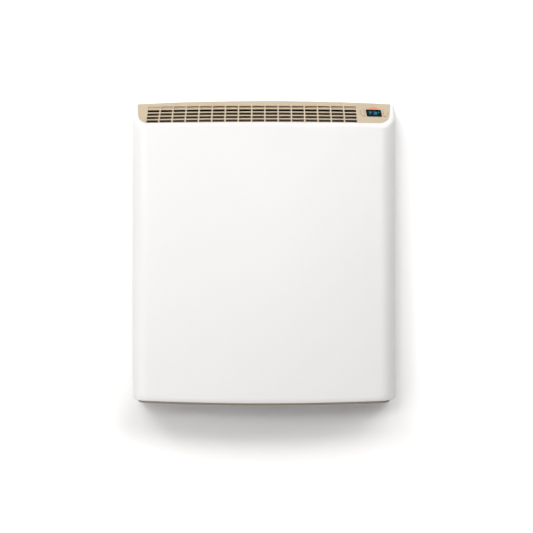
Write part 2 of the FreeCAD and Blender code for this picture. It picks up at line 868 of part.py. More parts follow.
heat_shield = elevation(
    "heat_shield", shield_back, d.shield_wall,
    (rectangle, shield_left, shield_right, -board_half, board_half + d.shield_rise),
    *rings(stack_points, stack_hole),
)
element_insulators = elevation(
    "element_insulators", shield_front, d.insulator_height,
    *rings(stack_points, d.insulator_radius), *rings(stack_points, stack_hole),
)
heating_board = elevation(
    "heating_board", board_back, d.board_wall,
    (rectangle, board_left, board_right, -board_half, board_half), *rings(stack_points, stack_hole),
)
baffle_spacers = elevation(
    "baffle_spacers", board_front, d.spacer_height,
    *rings(stack_points, d.spacer_radius), *rings(stack_points, stack_hole),
)
front_baffle = elevation(
    "front_baffle", baffle_back, d.baffle_wall,
    (rectangle, shield_left, shield_right, -board_half, board_half), *rings(stack_points, stack_hole),
)
screw_tip = panel_front + d.stack_boss_height / 3
stack_screws = elevation(
    "stack_screws", screw_tip, baffle_front - screw_tip, *rings(stack_points, d.stack_screw_radius),
)
grow(stack_screws, baffle_front, d.screw_head_height, *rings(stack_points, d.stack_screw_head))
drive(stack_screws, baffle_front + d.screw_head_height - d.recess_depth, stack_points)

# Heating ribbon: upright runs joined in turn at the top and the bottom, with a return to the same end
ribbon_first = stack_left + d.ribbon_side
last_run = stack_right - d.ribbon_side
ribbon_pitch = (last_run - ribbon_first) / (d.ribbon_runs - 1)
ribbon_half = d.ribbon_width / 2
ribbon_top = d.ribbon_half_height
ribbon_end = last_run + d.ribbon_tail
heating_ribbon = new_body("heating_ribbon")


def ribbon_strip(x0, x1, z0, z1, pitch=None, count=None):
    sketch = sketch_on(heating_ribbon, "XZ_Plane", board_front)
    rectangle(sketch, x0 - ribbon_half, x1 + ribbon_half, z0, z1)
    feature = pad(heating_ribbon, sketch, d.ribbon_wall)
    if count is not None:
        along(sketch, "H_Axis", pitch, count, heating_ribbon, feature)


return_low = -ribbon_top - d.ribbon_return
ribbon_strip(ribbon_first, ribbon_first, -ribbon_top, ribbon_top, ribbon_pitch, d.ribbon_runs)
ribbon_strip(
    ribbon_first, ribbon_first + ribbon_pitch, ribbon_top - d.ribbon_width, ribbon_top,
    ribbon_pitch * 2, d.ribbon_runs / 2,
)
ribbon_strip(
    ribbon_first + ribbon_pitch, ribbon_first + ribbon_pitch * 2, -ribbon_top, d.ribbon_width - ribbon_top,
    ribbon_pitch * 2, d.ribbon_runs / 2 - 1,
)
ribbon_strip(ribbon_first, ribbon_first, return_low, d.ribbon_width - ribbon_top)
ribbon_strip(ribbon_first, ribbon_end, return_low, return_low + d.ribbon_width)
ribbon_strip(last_run, ribbon_end, -ribbon_top, d.ribbon_width - ribbon_top)

ribbon_front = board_front + d.ribbon_wall
lead_heights = [ribbon_half - ribbon_top, return_low + ribbon_half]
terminal_left = ribbon_end - d.terminal_length / 2
terminal_half = d.terminal_width / 2
element_terminals = elevation(
    "element_terminals", ribbon_front, d.terminal_wall,
    *[(rectangle, terminal_left, terminal_left + d.terminal_length, z - terminal_half, z + terminal_half)
      for z in lead_heights],
)

# Thermal cut-out on the shield above the board
cutout_z = board_half + d.shield_rise / 2
thermal_cutout = elevation(
    "thermal_cutout", shield_front, d.cutout_plate,
    (rectangle, d.cutout_x - d.cutout_flange, d.cutout_x + d.cutout_flange, cutout_z - d.cutout_radius / 2,
     cutout_z + d.cutout_radius / 2),
)
grow(thermal_cutout, shield_front, d.cutout_depth, (ring, d.cutout_x, cutout_z, d.cutout_radius))

# Power board on four posts of the rear panel
power_right = half_width - d.power_edge
power_left = power_right - d.power_width
block_foot = (lead_heights[0] + lead_heights[1] - d.block_height) / 2
power_foot = block_foot - d.power_margin
power_head = power_foot + d.power_height
power_back = panel_front + d.post_height
power_front = power_back + d.power_wall
power_points = [
    (x, z)
    for x in (power_left + d.post_inset, power_right - d.post_inset)
    for z in (power_foot + d.post_inset, power_head - d.post_inset)
]
small_hole = d.small_screw_radius + d.screw_gap
power_board = elevation(
    "power_board", power_back, d.power_wall,
    (rectangle, power_left, power_right, power_foot, power_head), *rings(power_points, small_hole),
)
post_tip = panel_front + d.screw_gap * 5
power_screws = elevation(
    "power_screws", post_tip, power_front - post_tip, *rings(power_points, d.small_screw_radius),
)
grow(power_screws, power_front, d.screw_head_height, *rings(power_points, d.small_screw_head))
drive(power_screws, power_front + d.screw_head_height - d.recess_depth, power_points)


def on_power_board(label, left, rise, width, height, depth):
    x = power_left + left
    z = power_foot + rise
    return elevation(label, power_front, depth, (rectangle, x, x + width, z, z + height))


power_relay = on_power_board(
    "power_relay", d.relay_left, d.relay_rise, d.relay_width, d.relay_height, d.relay_depth,
)
power_supply = on_power_board(
    "power_supply", d.supply_left, d.supply_rise, d.supply_width, d.supply_height, d.supply_depth,
)
power_capacitor = elevation(
    "power_capacitor", power_front, d.capacitor_depth,
    (ring, power_left + d.capacitor_left, power_foot + d.capacitor_rise, d.capacitor_radius),
)
block_x = power_left + d.block_left
terminal_block = elevation(
    "terminal_block", power_front, d.block_depth,
    (rectangle, block_x, block_x + d.block_width, block_foot, block_foot + d.block_height),
)

# Straight leads from the terminal block to the element, through two holes of the partition
lead_reach = ribbon_front + d.terminal_wall + d.lead_radius
element_leads = new_body("element_leads")
lead_sketch = sketch_on(element_leads, "YZ_Plane", ribbon_end)
for height in lead_heights:
    ring(lead_sketch, -lead_reach, height, d.lead_radius)
pad(element_leads, lead_sketch, block_x - ribbon_end)

partition_right = half_width - d.partition_edge
partition_left = partition_right - d.partition_wall
foot_x = partition_left - d.partition_foot / 2
partition_points = [(foot_x, z) for z in (-d.partition_row, ZERO, d.partition_row)]
heat_partition = elevation(
    "heat_partition", panel_front, d.partition_wall,
    (rectangle, partition_left - d.partition_foot, partition_right, -d.partition_low, d.partition_high),
    *rings(partition_points, small_hole),
)
grow(
    heat_partition, panel_front, d.partition_reach,
    (rectangle, partition_left, partition_right, -d.partition_low, d.partition_high),
)
hole_sketch = sketch_on(heat_partition, "YZ_Plane", partition_left - d.fit_gap)
for height in lead_heights:
    ring(hole_sketch, -lead_reach, height, d.lead_hole_radius)
pocket(heat_partition, hole_sketch, d.partition_wall + d.fit_gap * 2)
foot_front = panel_front + d.partition_wall
foot_tip = d.wall_gap + d.screw_gap
partition_screws = elevation(
    "partition_screws", foot_tip, foot_front - foot_tip, *rings(partition_points, d.small_screw_radius),
)
grow(partition_screws, foot_front, d.screw_head_height, *rings(partition_points, d.small_screw_head))
drive(partition_screws, foot_front + d.screw_head_height - d.recess_depth, partition_points)

# Room sensor by the inlet, in a holder of the rear panel, with its lead up to the board
sensor_x = power_left + d.sensor_left
sensor_reach = (power_back + power_front) / 2
sensor_foot = d.sensor_rise - d.case_bottom
holder_half = d.sensor_radius + d.holder_wall
holder_foot = sensor_foot + (d.sensor_length - d.holder_height) / 2
sensor_holder = elevation(
    "sensor_holder", panel_front, sensor_reach + holder_half - panel_front,
    (rectangle, sensor_x - holder_half, sensor_x + holder_half, holder_foot, holder_foot + d.holder_height),
)
seat_sketch = sketch_on(sensor_holder, "XY_Plane", holder_foot - d.fit_gap)
ring(seat_sketch, sensor_x, -sensor_reach, d.sensor_radius + d.screw_gap)
pocket(sensor_holder, seat_sketch, d.holder_height + d.fit_gap * 2)


def upright(label, x, reach, radius, foot, head):
    body = new_body(label)
    sketch = sketch_on(body, "XY_Plane", foot)
    ring(sketch, x, -reach, radius)
    pad(body, sketch, head - foot)
    return body


sensor_head = sensor_foot + d.sensor_length
room_sensor = upright("room_sensor", sensor_x, sensor_reach, d.sensor_radius, sensor_foot, sensor_head)
sensor_lead = upright("sensor_lead", sensor_x, sensor_reach, d.sensor_lead_radius, sensor_head, power_foot)

# Supply gland in the rear panel
gland_x = half_width - d.gland_edge
gland_z = d.gland_rise - d.case_bottom
gland_start = d.wall_gap - d.gland_collar
cable_gland = elevation(
    "cable_gland", gland_start, d.gland_collar, (ring, gland_x, gland_z, d.gland_collar_radius),
)
grow(cable_gland, gland_start, d.gland_collar + d.gland_nose, (ring, gland_x, gland_z, d.gland_radius))
bore(cable_gland, ZERO, front_reach, (ring, gland_x, gland_z, d.gland_bore))

# Wall clips and the rear panel they carry
clip_x = half_width - d.clip_edge
clip_z = d.clip_spread_z / 2
clip_points = [(x, z) for x in (-clip_x, clip_x) for z in (-clip_z, clip_z)]
clip_front = d.wall_gap - d.fit_gap
arm_half = d.arm_width / 2
tongue_start = panel_front + d.fit_gap


def clip_blocks(sketch):
    for x, z in clip_points:
        across = d.clip_width / 2
        rise = d.clip_height / 2
        rounded(sketch, x - across, x + across, z - rise, z + rise, d.clip_corner)


def clip_arms(sketch, extra):
    for x, z in clip_points:
        foot = z + d.arm_rise
        rectangle(sketch, x - arm_half, x + arm_half, foot, foot + d.arm_height + extra)


def clip_slots(sketch):
    across = arm_half + d.fit_gap * 2
    for x, z in clip_points:
        head = z + d.arm_rise + d.arm_height + d.rest_gap
        tall = d.arm_height + d.tongue_rise + d.hook_margin
        rectangle(sketch, x - across, x + across, head - tall, head)


wall_clips = elevation("wall_clips", ZERO, clip_front, (clip_blocks,))
grow(wall_clips, clip_front, tongue_start - clip_front, (clip_arms, ZERO))
grow(wall_clips, tongue_start, d.tongue_depth, (clip_arms, d.tongue_rise))
bore(wall_clips, -margin, margin + clip_front, *rings(clip_points, d.clip_hole_radius))
bore(wall_clips, clip_front - d.clip_bore_depth, d.clip_bore_depth, *rings(clip_points, d.clip_bore_radius))


def panel_outline(sketch):
    trim = d.cover_wall + d.fit_gap
    side = half_width - trim
    turn = d.panel_corner
    low_radius = d.bottom_arch_radius - trim
    top_radius = d.top_arch_radius - d.grille_wall - d.fit_gap
    low = arch_sag(low_radius, side - turn) + trim - d.case_bottom
    high = d.case_top - d.grille_wall - d.fit_gap - arch_sag(top_radius, side - turn)
    corners = [
        (turn - side, low), (side - turn, low), (side, low + turn), (side, high - turn),
        (side - turn, high), (turn - side, high), (-side, high - turn), (-side, low + turn),
    ]
    draw(sketch, corners, {0: low_radius, 1: turn, 3: turn, 4: top_radius, 5: turn, 7: turn})


def panel_rim(sketch):
    outer = half_width - d.cover_wall - d.fit_gap - d.rim_inset
    inner = outer - d.rim_wall
    low = d.rim_rise - d.case_bottom
    high = d.case_top - d.rim_top_drop
    corners = [
        (-outer, low), (outer, low), (outer, high), (inner, high),
        (inner, low + d.rim_wall), (-inner, low + d.rim_wall), (-inner, high), (-outer, high),
    ]
    draw(sketch, corners)


rear_panel = elevation("rear_panel", d.wall_gap, d.panel_wall, (panel_outline,))
inside = panel_front - d.fit_gap
grow(rear_panel, inside, d.rim_depth + d.fit_gap, (panel_rim,))
grow(rear_panel, inside, d.stack_boss_height + d.fit_gap, *rings(stack_points, d.stack_boss_radius))
grow(rear_panel, inside, d.post_height + d.fit_gap, *rings(power_points, d.post_radius))
rib_sketch = sketch_on(rear_panel, "XZ_Plane", d.wall_gap - d.rib_height)
rib_first = -d.rib_pitch * (d.rib_count - 1) / 2
rib_half = d.rib_width / 2
rectangle(rib_sketch, rib_first - rib_half, rib_first + rib_half, -d.rib_length / 2, d.rib_length / 2)
rib = pad(rear_panel, rib_sketch, d.rib_height + d.fit_gap)
along(rib_sketch, "H_Axis", d.rib_pitch, d.rib_count, rear_panel, rib)
bore(rear_panel, -margin, front_reach, (clip_slots,))
bore(rear_panel, -margin, front_reach, *rings(boss_points, d.screw_hole_radius))
bore(rear_panel, -margin, front_reach, *rings(partition_points, small_hole))
bore(rear_panel, -margin, front_reach, (ring, gland_x, gland_z, d.gland_radius + d.fit_gap))
bore(rear_panel, panel_front, front_reach, *rings(stack_points, stack_hole), *rings(power_points, small_hole))

cover_tip = panel_front + d.pilot_depth * 0.8
cover_screws = elevation(
    "cover_screws", d.wall_gap, cover_tip - d.wall_gap, *rings(boss_points, d.small_screw_radius),
)
head_start = d.wall_gap - d.screw_head_height
grow(cover_screws, head_start, d.screw_head_height, *rings(boss_points, d.small_screw_head))
drive(cover_screws, head_start, boss_points)

# Control pieces under the sloping surface
control_back = d.control_depth + d.control_wall


def board_outline(sketch, gap):
    across = d.control_half_width + gap
    rectangle(sketch, -across, across, -d.control_low - gap, d.control_high + gap)


control_board = pod_piece(
    "control_board", d.control_depth, d.control_wall,
    (board_outline, ZERO), *rings(control_points, control_hole),
)
control_screws = pod_piece(
    "control_screws", under_wall + d.flange_wall, control_back - under_wall - d.flange_wall,
    *rings(control_points, d.control_screw_radius),
)
pod_grow(control_screws, control_back, d.control_head_height, *rings(control_points, d.control_screw_head))
rim_start = d.grille_wall + d.tray_rim
control_tray = pod_piece(
    "control_tray", rim_start, d.tray_floor - rim_start,
    (board_outline, d.tray_gap + d.tray_wall), (board_outline, d.tray_gap),
)
pod_grow(control_tray, d.tray_floor, d.tray_wall, (board_outline, d.tray_gap + d.tray_wall))

flange_back = under_wall + d.flange_wall
display_window = pod_piece("display_window", d.window_recess, flange_back - d.window_recess, (window, ZERO))
pod_grow(display_window, under_wall, d.flange_wall, (window, d.flange_width))
display_module = pod_piece(
    "display_module", d.control_depth - d.display_wall, d.display_wall, (window, -d.display_margin),
)
indicator_lens = pod_piece("indicator_lens", -d.lamp_proud, flange_back + d.lamp_proud, (lamp, ZERO))
pod_grow(indicator_lens, under_wall, d.flange_wall, (lamp, d.flange_width))
chip_half = d.lamp_chip / 2
indicator_chip = pod_piece(
    "indicator_chip", d.control_depth - d.lamp_chip_wall, d.lamp_chip_wall,
    (rectangle, d.lamp_shift - chip_half, d.lamp_shift + chip_half,
     d.lamp_rise - chip_half, d.lamp_rise + chip_half),
)


def push_button(label, side):
    body = pod_piece(label, -d.button_proud, d.button_proud + flange_back, (button, side, ZERO))
    pod_grow(body, under_wall, d.flange_wall, (button, side, d.button_flange))
    return body


decrease_button = push_button("decrease_button", -1)
increase_button = push_button("increase_button", 1)
switch_x = d.button_offset + d.button_depth / 2
switch_half = d.switch_width / 2
switch_start = d.control_depth - d.switch_height
button_switches = pod_piece(
    "button_switches", switch_start, d.switch_height,
    (rectangle, -switch_x - switch_half, switch_half - switch_x, -switch_half, switch_half),
    (rectangle, switch_x - switch_half, switch_x + switch_half, -switch_half, switch_half),
)
pod_grow(
    button_switches, switch_start - d.plunger_height, d.plunger_height,
    (ring, -switch_x, ZERO, d.plunger_radius), (ring, switch_x, ZERO, d.plunger_radius),
)

# Control cable: upright from a socket on the power board to the underside of the tray
lean_sine = sine(d.slope_angle)
lean_cosine = cosine(d.slope_angle)
tray_low = d.control_low + d.tray_gap + d.tray_wall
entry_depth = (rim_start + d.tray_floor) / 2
cable_reach = tray_low * lean_sine - pod_y - entry_depth * lean_cosine
tray_height = pod_z - tray_low * lean_cosine - entry_depth * lean_sine
cable_head = tray_height - d.cable_radius * tangent(d.slope_angle) - d.rest_gap
socket_head = power_foot + d.socket_rise + d.socket_height
control_socket = on_power_board(
    "control_socket", pod_x - power_left - d.socket_width / 2, d.socket_rise, d.socket_width, d.socket_height,
    cable_reach + d.cable_radius - power_front,
)
control_cable = upright("control_cable", pod_x, cable_reach, d.cable_radius, socket_head, cable_head)

PIECES = [
    front_cover, outlet_grille, inlet_grille, rear_panel, wall_clips,
    heat_shield, element_insulators, heating_board, heating_ribbon, element_terminals,
    baffle_spacers, front_baffle, stack_screws, thermal_cutout, heat_partition, partition_screws,
    power_board, power_screws, power_relay, power_supply, power_capacitor, terminal_block,
    element_leads, control_socket, control_cable, room_sensor, sensor_holder, sensor_lead,
    cable_gland, cover_screws, control_board, control_screws, control_tray, display_window,
    display_module, indicator_lens, indicator_chip, decrease_button, increase_button, button_switches,
]

doc.recompute()
for item in doc.Objects:
    if "Invalid" in item.State or "Error" in item.State:
        raise RuntimeError(f"{item.Name} did not compute: {item.State}")
os.makedirs("parts", exist_ok=True)
for piece in PIECES:
    if piece.Shape.isNull() or not piece.Shape.isValid() or not piece.Shape.Solids:
        raise RuntimeError(f"{piece.Label} has no valid solid")
    piece.Shape.exportStep(f"parts/{piece.Label}.step")
    print(piece.Label, len(piece.Shape.Solids), round(piece.Shape.Volume, 1))
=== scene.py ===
import json
import math

import bmesh
import bpy
from mathutils import Matrix, Vector


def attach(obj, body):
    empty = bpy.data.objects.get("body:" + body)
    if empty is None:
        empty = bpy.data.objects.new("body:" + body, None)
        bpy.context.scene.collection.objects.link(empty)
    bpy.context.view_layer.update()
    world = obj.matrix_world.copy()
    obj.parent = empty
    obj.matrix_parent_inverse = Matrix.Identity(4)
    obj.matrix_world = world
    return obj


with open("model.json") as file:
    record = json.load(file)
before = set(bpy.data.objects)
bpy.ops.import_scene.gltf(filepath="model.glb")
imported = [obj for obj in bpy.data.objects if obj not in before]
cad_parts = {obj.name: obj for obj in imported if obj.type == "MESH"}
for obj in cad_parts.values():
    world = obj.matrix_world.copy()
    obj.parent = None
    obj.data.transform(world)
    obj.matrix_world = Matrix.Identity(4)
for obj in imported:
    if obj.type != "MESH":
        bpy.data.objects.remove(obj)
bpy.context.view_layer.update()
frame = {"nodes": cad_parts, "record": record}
MM = 0.001


# Shader helpers
class Shader:
    """One material with its node tree and the few steps that its look needs."""

    def __init__(self, name):
        self.name = name
        self.material = bpy.data.materials.new(name)
        self.material.use_nodes = True
        self.tree = self.material.node_tree
        self.surface = self.tree.nodes["Principled BSDF"]
        self.place = self.node("ShaderNodeTexCoord").outputs["Object"]

    def node(self, kind, **settings):
        made = self.tree.nodes.new(kind)
        for word, value in settings.items():
            setattr(made, word, value)
        return made

    def link(self, source, target):
        self.tree.links.new(source, target)

    def stretched(self, stretch):
        mapping = self.node("ShaderNodeMapping")
        mapping.inputs["Scale"].default_value = stretch
        self.link(self.place, mapping.inputs["Vector"])
        return mapping.outputs["Vector"]

    def noise(self, scale, detail=2.0, stretch=None):
        texture = self.node("ShaderNodeTexNoise")
        texture.inputs["Scale"].default_value = scale
        texture.inputs["Detail"].default_value = detail
        self.link(self.stretched(stretch) if stretch else self.place, texture.inputs["Vector"])
        return texture.outputs["Fac"]

    def cells(self, scale, output="Distance"):
        texture = self.node("ShaderNodeTexVoronoi")
        texture.inputs["Scale"].default_value = scale
        self.link(self.place, texture.inputs["Vector"])
        return texture.outputs[output]

    def ranged(self, source, low=0.0, high=1.0, start=0.3, end=0.7):
        step = self.node("ShaderNodeMapRange")
        step.inputs["From Min"].default_value = start
        step.inputs["From Max"].default_value = end
        step.inputs["To Min"].default_value = low
        step.inputs["To Max"].default_value = high
        self.link(source, step.inputs["Value"])
        return step.outputs["Result"]

    def between(self, source, first, second):
        mix = self.node("ShaderNodeMix", data_type="RGBA")
        self.link(source, mix.inputs["Factor"])
        for socket, value in ((mix.inputs[6], first), (mix.inputs[7], second)):
            if isinstance(value, tuple):
                socket.default_value = (*value, 1.0)
            else:
                self.link(value, socket)
        return mix.outputs[2]

    def bump(self, source, depth, under=None):
        step = self.node("ShaderNodeBump")
        step.inputs["Strength"].default_value = 1.0
        step.inputs["Distance"].default_value = depth
        self.link(source, step.inputs["Height"])
        if under:
            self.link(under, step.inputs["Normal"])
        return step.outputs["Normal"]

    def put(self, socket, value):
        target = self.surface.inputs[socket]
        if isinstance(value, bpy.types.NodeSocket):
            self.link(value, target)
        else:
            target.default_value = value


def shade(tint, share):
    return tuple(min(1.0, part * share) for part in tint)


# Moulded plastic: its sheen varies in finer patches than its colour, and a wider swell lies under the grain
SHEEN_SPREAD = 0.05
SHEEN_FINER = 5
SWELL_WIDER = 9
SWELL_DEEPER = 2


def moulded(name, tint, roughness, grain, depth, spread, patch, specular=0.5):
    """Injection-moulded plastic: faint flow clouds, sheen that varies, a fine spark-eroded grain."""
    look = Shader(name)
    clouds = look.ranged(look.noise(patch, detail=3.0))
    sheen = look.noise(patch * SHEEN_FINER)
    look.put("Base Color", look.between(clouds, shade(tint, 1 - spread), shade(tint, 1 + spread)))
    look.put("Roughness", look.ranged(sheen, roughness - SHEEN_SPREAD, roughness + SHEEN_SPREAD))
    look.put("Specular IOR Level", specular)
    swell = look.bump(look.noise(grain / SWELL_WIDER, detail=1.0), depth * SWELL_DEEPER)
    look.put("Normal", look.bump(look.noise(grain), depth, swell))
    return look


# Metal: wide clouds of colour, and streaks that are brighter or duller than the sheet
CLOUDS_WIDER = 4
STREAK_BRIGHT = 0.08
STREAK_DULL = 0.1
STREAK_DEPTH = 2e-6


def metal(name, tint, roughness, stretch, streak, spread):
    """Drawn or rolled metal: clouded colour, streaks along one axis in roughness and relief."""
    look = Shader(name)
    lines = look.noise(streak, detail=4.0, stretch=stretch)
    clouds = look.ranged(look.noise(streak / CLOUDS_WIDER))
    look.put("Base Color", look.between(clouds, shade(tint, 1 - spread), shade(tint, 1 + spread)))
    look.put("Roughness", look.ranged(lines, roughness - STREAK_BRIGHT, roughness + STREAK_DULL))
    look.put("Metallic", 1.0)
    look.put("Normal", look.bump(lines, STREAK_DEPTH))
    return look


# Mineral: dull patches wider than the specks, a relief finer than them
DRY_SPREAD = 0.08
DRY_WIDER = 2
RELIEF_FINER = 2
RELIEF_DEPTH = 6e-6


def speckled(name, tint, speck, roughness, scale):
    """Fired or pressed mineral: a body with scattered specks of another tint and a dry surface."""
    look = Shader(name)
    specks = look.ranged(look.cells(scale), low=1.0, high=0.0, start=0.05, end=0.35)
    dry = look.noise(scale / DRY_WIDER)
    look.put("Base Color", look.between(specks, tint, speck))
    look.put("Roughness", look.ranged(dry, roughness - DRY_SPREAD, roughness + DRY_SPREAD))
    look.put("Normal", look.bump(look.noise(scale * RELIEF_FINER, detail=3.0), RELIEF_DEPTH))
    return look


MATERIALS = {}


def keep(look):
    MATERIALS[look.name] = look.material
    return look


# Casing plastics
keep(moulded(
    "white_plastic", tint=(0.873, 0.863, 0.848), roughness=0.42,
    grain=1400.0, depth=2.5e-6, spread=0.006, patch=5.0,
))
keep(moulded(
    "beige_plastic", tint=(0.575, 0.467, 0.328), roughness=0.52,
    grain=1800.0, depth=6e-6, spread=0.03, patch=26.0,
))
# Inlet grille: painted shade. The casing's beige is made dark brown here to stand for the shade under the
# cover's lower lip.
keep(moulded(
    "inlet_plastic", tint=(0.26, 0.205, 0.152), roughness=0.55,
    grain=1500.0, depth=6e-6, spread=0.05, patch=30.0,
))
# Rear panel: its dark warm brown is painted shade, standing for the shade seen through the grille's slots.
keep(moulded(
    "panel_plastic", tint=(0.052, 0.034, 0.016), roughness=0.62,
    grain=900.0, depth=8e-6, spread=0.05, patch=9.0,
))
keep(moulded(
    "clip_plastic", tint=(0.66, 0.64, 0.59), roughness=0.5,
    grain=1200.0, depth=6e-6, spread=0.03, patch=40.0,
))

# Controls
BAR_GLOW = 0.25
keep(moulded(
    "black_plastic", tint=(0.022, 0.022, 0.025), roughness=0.5,
    grain=1600.0, depth=5e-6, spread=0.15, patch=60.0,
))
keep(moulded(
    "smoked_lens", tint=(0.005, 0.006, 0.008), roughness=0.12,
    grain=500.0, depth=1e-7, spread=0.2, patch=80.0, specular=0.06,
))
salmon = keep(moulded(
    "salmon_lens", tint=(0.75, 0.20, 0.10), roughness=0.22,
    grain=900.0, depth=1e-6, spread=0.05, patch=120.0,
))
salmon.put("Emission Color", (1.0, 0.22, 0.09, 1.0))
salmon.put("Emission Strength", BAR_GLOW)

# Small electrical parts
keep(moulded(
    "lamp_resin", tint=(0.90, 0.80, 0.48), roughness=0.25,
    grain=900.0, depth=1e-6, spread=0.06, patch=300.0,
))
keep(moulded(
    "sleeve", tint=(0.012, 0.013, 0.02), roughness=0.28,
    grain=700.0, depth=2e-6, spread=0.2, patch=120.0,
))
keep(moulded(
    "blue_plastic", tint=(0.03, 0.10, 0.32), roughness=0.34,
    grain=1500.0, depth=3e-6, spread=0.06, patch=90.0,
))
keep(moulded(
    "block_plastic", tint=(0.68, 0.66, 0.58), roughness=0.46,
    grain=1500.0, depth=4e-6, spread=0.04, patch=90.0,
))
keep(moulded(
    "sensor_resin", tint=(0.010, 0.010, 0.012), roughness=0.18,
    grain=500.0, depth=4e-6, spread=0.2, patch=200.0,
))

# Sleeved leads
keep(moulded(
    "lead_rubber", tint=(0.34, 0.025, 0.018), roughness=0.55,
    grain=1200.0, depth=6e-6, spread=0.1, patch=70.0, specular=0.35,
))
keep(moulded(
    "cable_rubber", tint=(0.018, 0.018, 0.019), roughness=0.6,
    grain=1200.0, depth=6e-6, spread=0.15, patch=70.0, specular=0.35,
))

# Metals
keep(metal(
    "aluminium_sheet", tint=(0.78, 0.79, 0.80), roughness=0.34,
    stretch=(1.0, 1.0, 0.04), streak=260.0, spread=0.04,
))
keep(metal(
    "resistance_alloy", tint=(0.30, 0.26, 0.23), roughness=0.42,
    stretch=(1.0, 1.0, 0.06), streak=220.0, spread=0.25,
))
keep(metal(
    "screw_steel", tint=(0.60, 0.60, 0.58), roughness=0.32,
    stretch=(1.0, 0.1, 1.0), streak=900.0, spread=0.08,
))
keep(metal(
    "brass_tab", tint=(0.74, 0.53, 0.22), roughness=0.3,
    stretch=(0.1, 1.0, 1.0), streak=700.0, spread=0.1,
))
keep(metal(
    "cutout_metal", tint=(0.66, 0.66, 0.67), roughness=0.3,
    stretch=(1.0, 0.1, 1.0), streak=600.0, spread=0.06,
))

# Galvanised sheet: the zinc's spangle takes the place of the clouds
SPANGLE_SCALE = 140.0
zinc = keep(metal(
    "steel_sheet", tint=(0.56, 0.58, 0.60), roughness=0.38,
    stretch=(1.0, 1.0, 0.2), streak=120.0, spread=0.1,
))
spangle = zinc.ranged(zinc.cells(SPANGLE_SCALE, "Color"), start=0.1, end=0.9)
zinc.put("Base Color", zinc.between(spangle, (0.48, 0.50, 0.52), (0.66, 0.68, 0.70)))

# Minerals
MICA_COAT = 0.3
keep(speckled(
    "ceramic", tint=(0.80, 0.76, 0.67), speck=(0.62, 0.57, 0.48), roughness=0.6, scale=900.0,
))
mica = keep(speckled(
    "mica", tint=(0.33, 0.25, 0.16), speck=(0.50, 0.42, 0.29), roughness=0.4, scale=160.0,
))
mica.put("Coat Weight", MICA_COAT)

# Circuit boards: mask with paler copper runs under it
BOARD_MASK = (0.012, 0.10, 0.04)
BOARD_RUNS = (0.03, 0.19, 0.08)
RUN_SCALE = 110.0
RUN_WIDTH = 0.03
board = keep(moulded(
    "green_board", tint=BOARD_MASK, roughness=0.3,
    grain=700.0, depth=3e-6, spread=0.1, patch=60.0,
))
runs = board.node("ShaderNodeTexBrick")
runs.inputs["Scale"].default_value = RUN_SCALE
runs.inputs["Mortar Size"].default_value = RUN_WIDTH
board.link(board.place, runs.inputs["Vector"])
board.put("Base Color", board.between(runs.outputs["Fac"], BOARD_MASK, BOARD_RUNS))

for part in frame["record"]["subparts"]:
    slots = frame["nodes"][part["node"]].data.materials
    slots.clear()
    slots.append(MATERIALS[part["material_slot"]])

# Display figures on the dark window, in a frame that turns with the casing's bow and leans with its slope
POD_ORIGIN = Vector((201.5, -35.348, 253.3)) * MM
POD_TURN = math.radians(4.9645)
POD_LEAN = math.radians(54.0)
WINDOW_RECESS = 0.1 * MM
# Each figure with its left, right, lower and upper edge from the middle of the window, in millimetres
FIGURES = (
    ("7", -9.6, -3.2, -3.4, 3.5),
    ("3", -1.4, 5.9, -3.4, 3.5),
    ("°", 7.6, 10.4, 0.6, 3.6),
)
FIGURE_RISE = 0.06
# The font's own units; any depth does, because the mesh is brought to unit size
FONT_DEPTH = 0.5
FONT_BOLD = 0.012
FIGURE_GLOW = 0.85

pod = (
    Matrix.Translation(POD_ORIGIN)
    @ Matrix.Rotation(POD_TURN, 4, "Z")
    @ Matrix.Rotation(POD_LEAN, 4, "X")
    @ Matrix.Translation((0.0, 0.0, -WINDOW_RECESS))
)


def figure_mesh(letter):
    """One letter of the built-in font as a mesh in a box of unit size."""
    words = bpy.data.curves.new("figure", "FONT")
    words.body = letter
    words.extrude = FONT_DEPTH
    words.offset = FONT_BOLD
    holder = bpy.data.objects.new("figure", words)
    bpy.context.scene.collection.objects.link(holder)
    bpy.context.view_layer.update()
    mesh = bpy.data.meshes.new_from_object(holder.evaluated_get(bpy.context.evaluated_depsgraph_get()))
    bpy.data.objects.remove(holder)
    low = Vector(map(min, zip(*[v.co for v in mesh.vertices])))
    high = Vector(map(max, zip(*[v.co for v in mesh.vertices])))
    for vertex in mesh.vertices:
        vertex.co = [(vertex.co[axis] - low[axis]) / (high[axis] - low[axis]) for axis in range(3)]
    return mesh


def display_figures():
    """The reading in plain figures, as a thin lit film on the window."""
    film = bmesh.new()
    for letter, left, right, foot, head in FIGURES:
        mesh = figure_mesh(letter)
        mesh.transform(Matrix.Diagonal((right - left, head - foot, FIGURE_RISE, 1.0)))
        mesh.transform(Matrix.Translation((left, foot, 0.0)))
        film.from_mesh(mesh)
        bpy.data.meshes.remove(mesh)
    bmesh.ops.scale(film, vec=(MM, MM, MM), verts=film.verts)
    bmesh.ops.transform(film, matrix=pod, verts=film.verts)
    mesh = bpy.data.meshes.new("display_figures")
    film.to_mesh(mesh)
    film.free()
    piece = bpy.data.objects.new("display_figures", mesh)
    bpy.context.scene.collection.objects.link(piece)
    return piece


figures = display_figures()
lit = moulded(
    "lit_film", tint=(0.002, 0.03, 0.05), roughness=0.4,
    grain=900.0, depth=1e-7, spread=0.2, patch=900.0, specular=0.06,
)
lit.put("Emission Color", (0.012, 0.30, 0.56, 1.0))
lit.put("Emission Strength", FIGURE_GLOW)
figures.data.materials.append(lit.material)
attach(figures, "heater")


# Wall behind the heater and a pale floor below it
def sheet(name, corners):
    mesh = bpy.data.meshes.new(name)
    mesh.from_pydata(corners, [], [tuple(range(len(corners)))])
    thing = bpy.data.objects.new(name, mesh)
    bpy.context.scene.collection.objects.link(thing)
    return thing


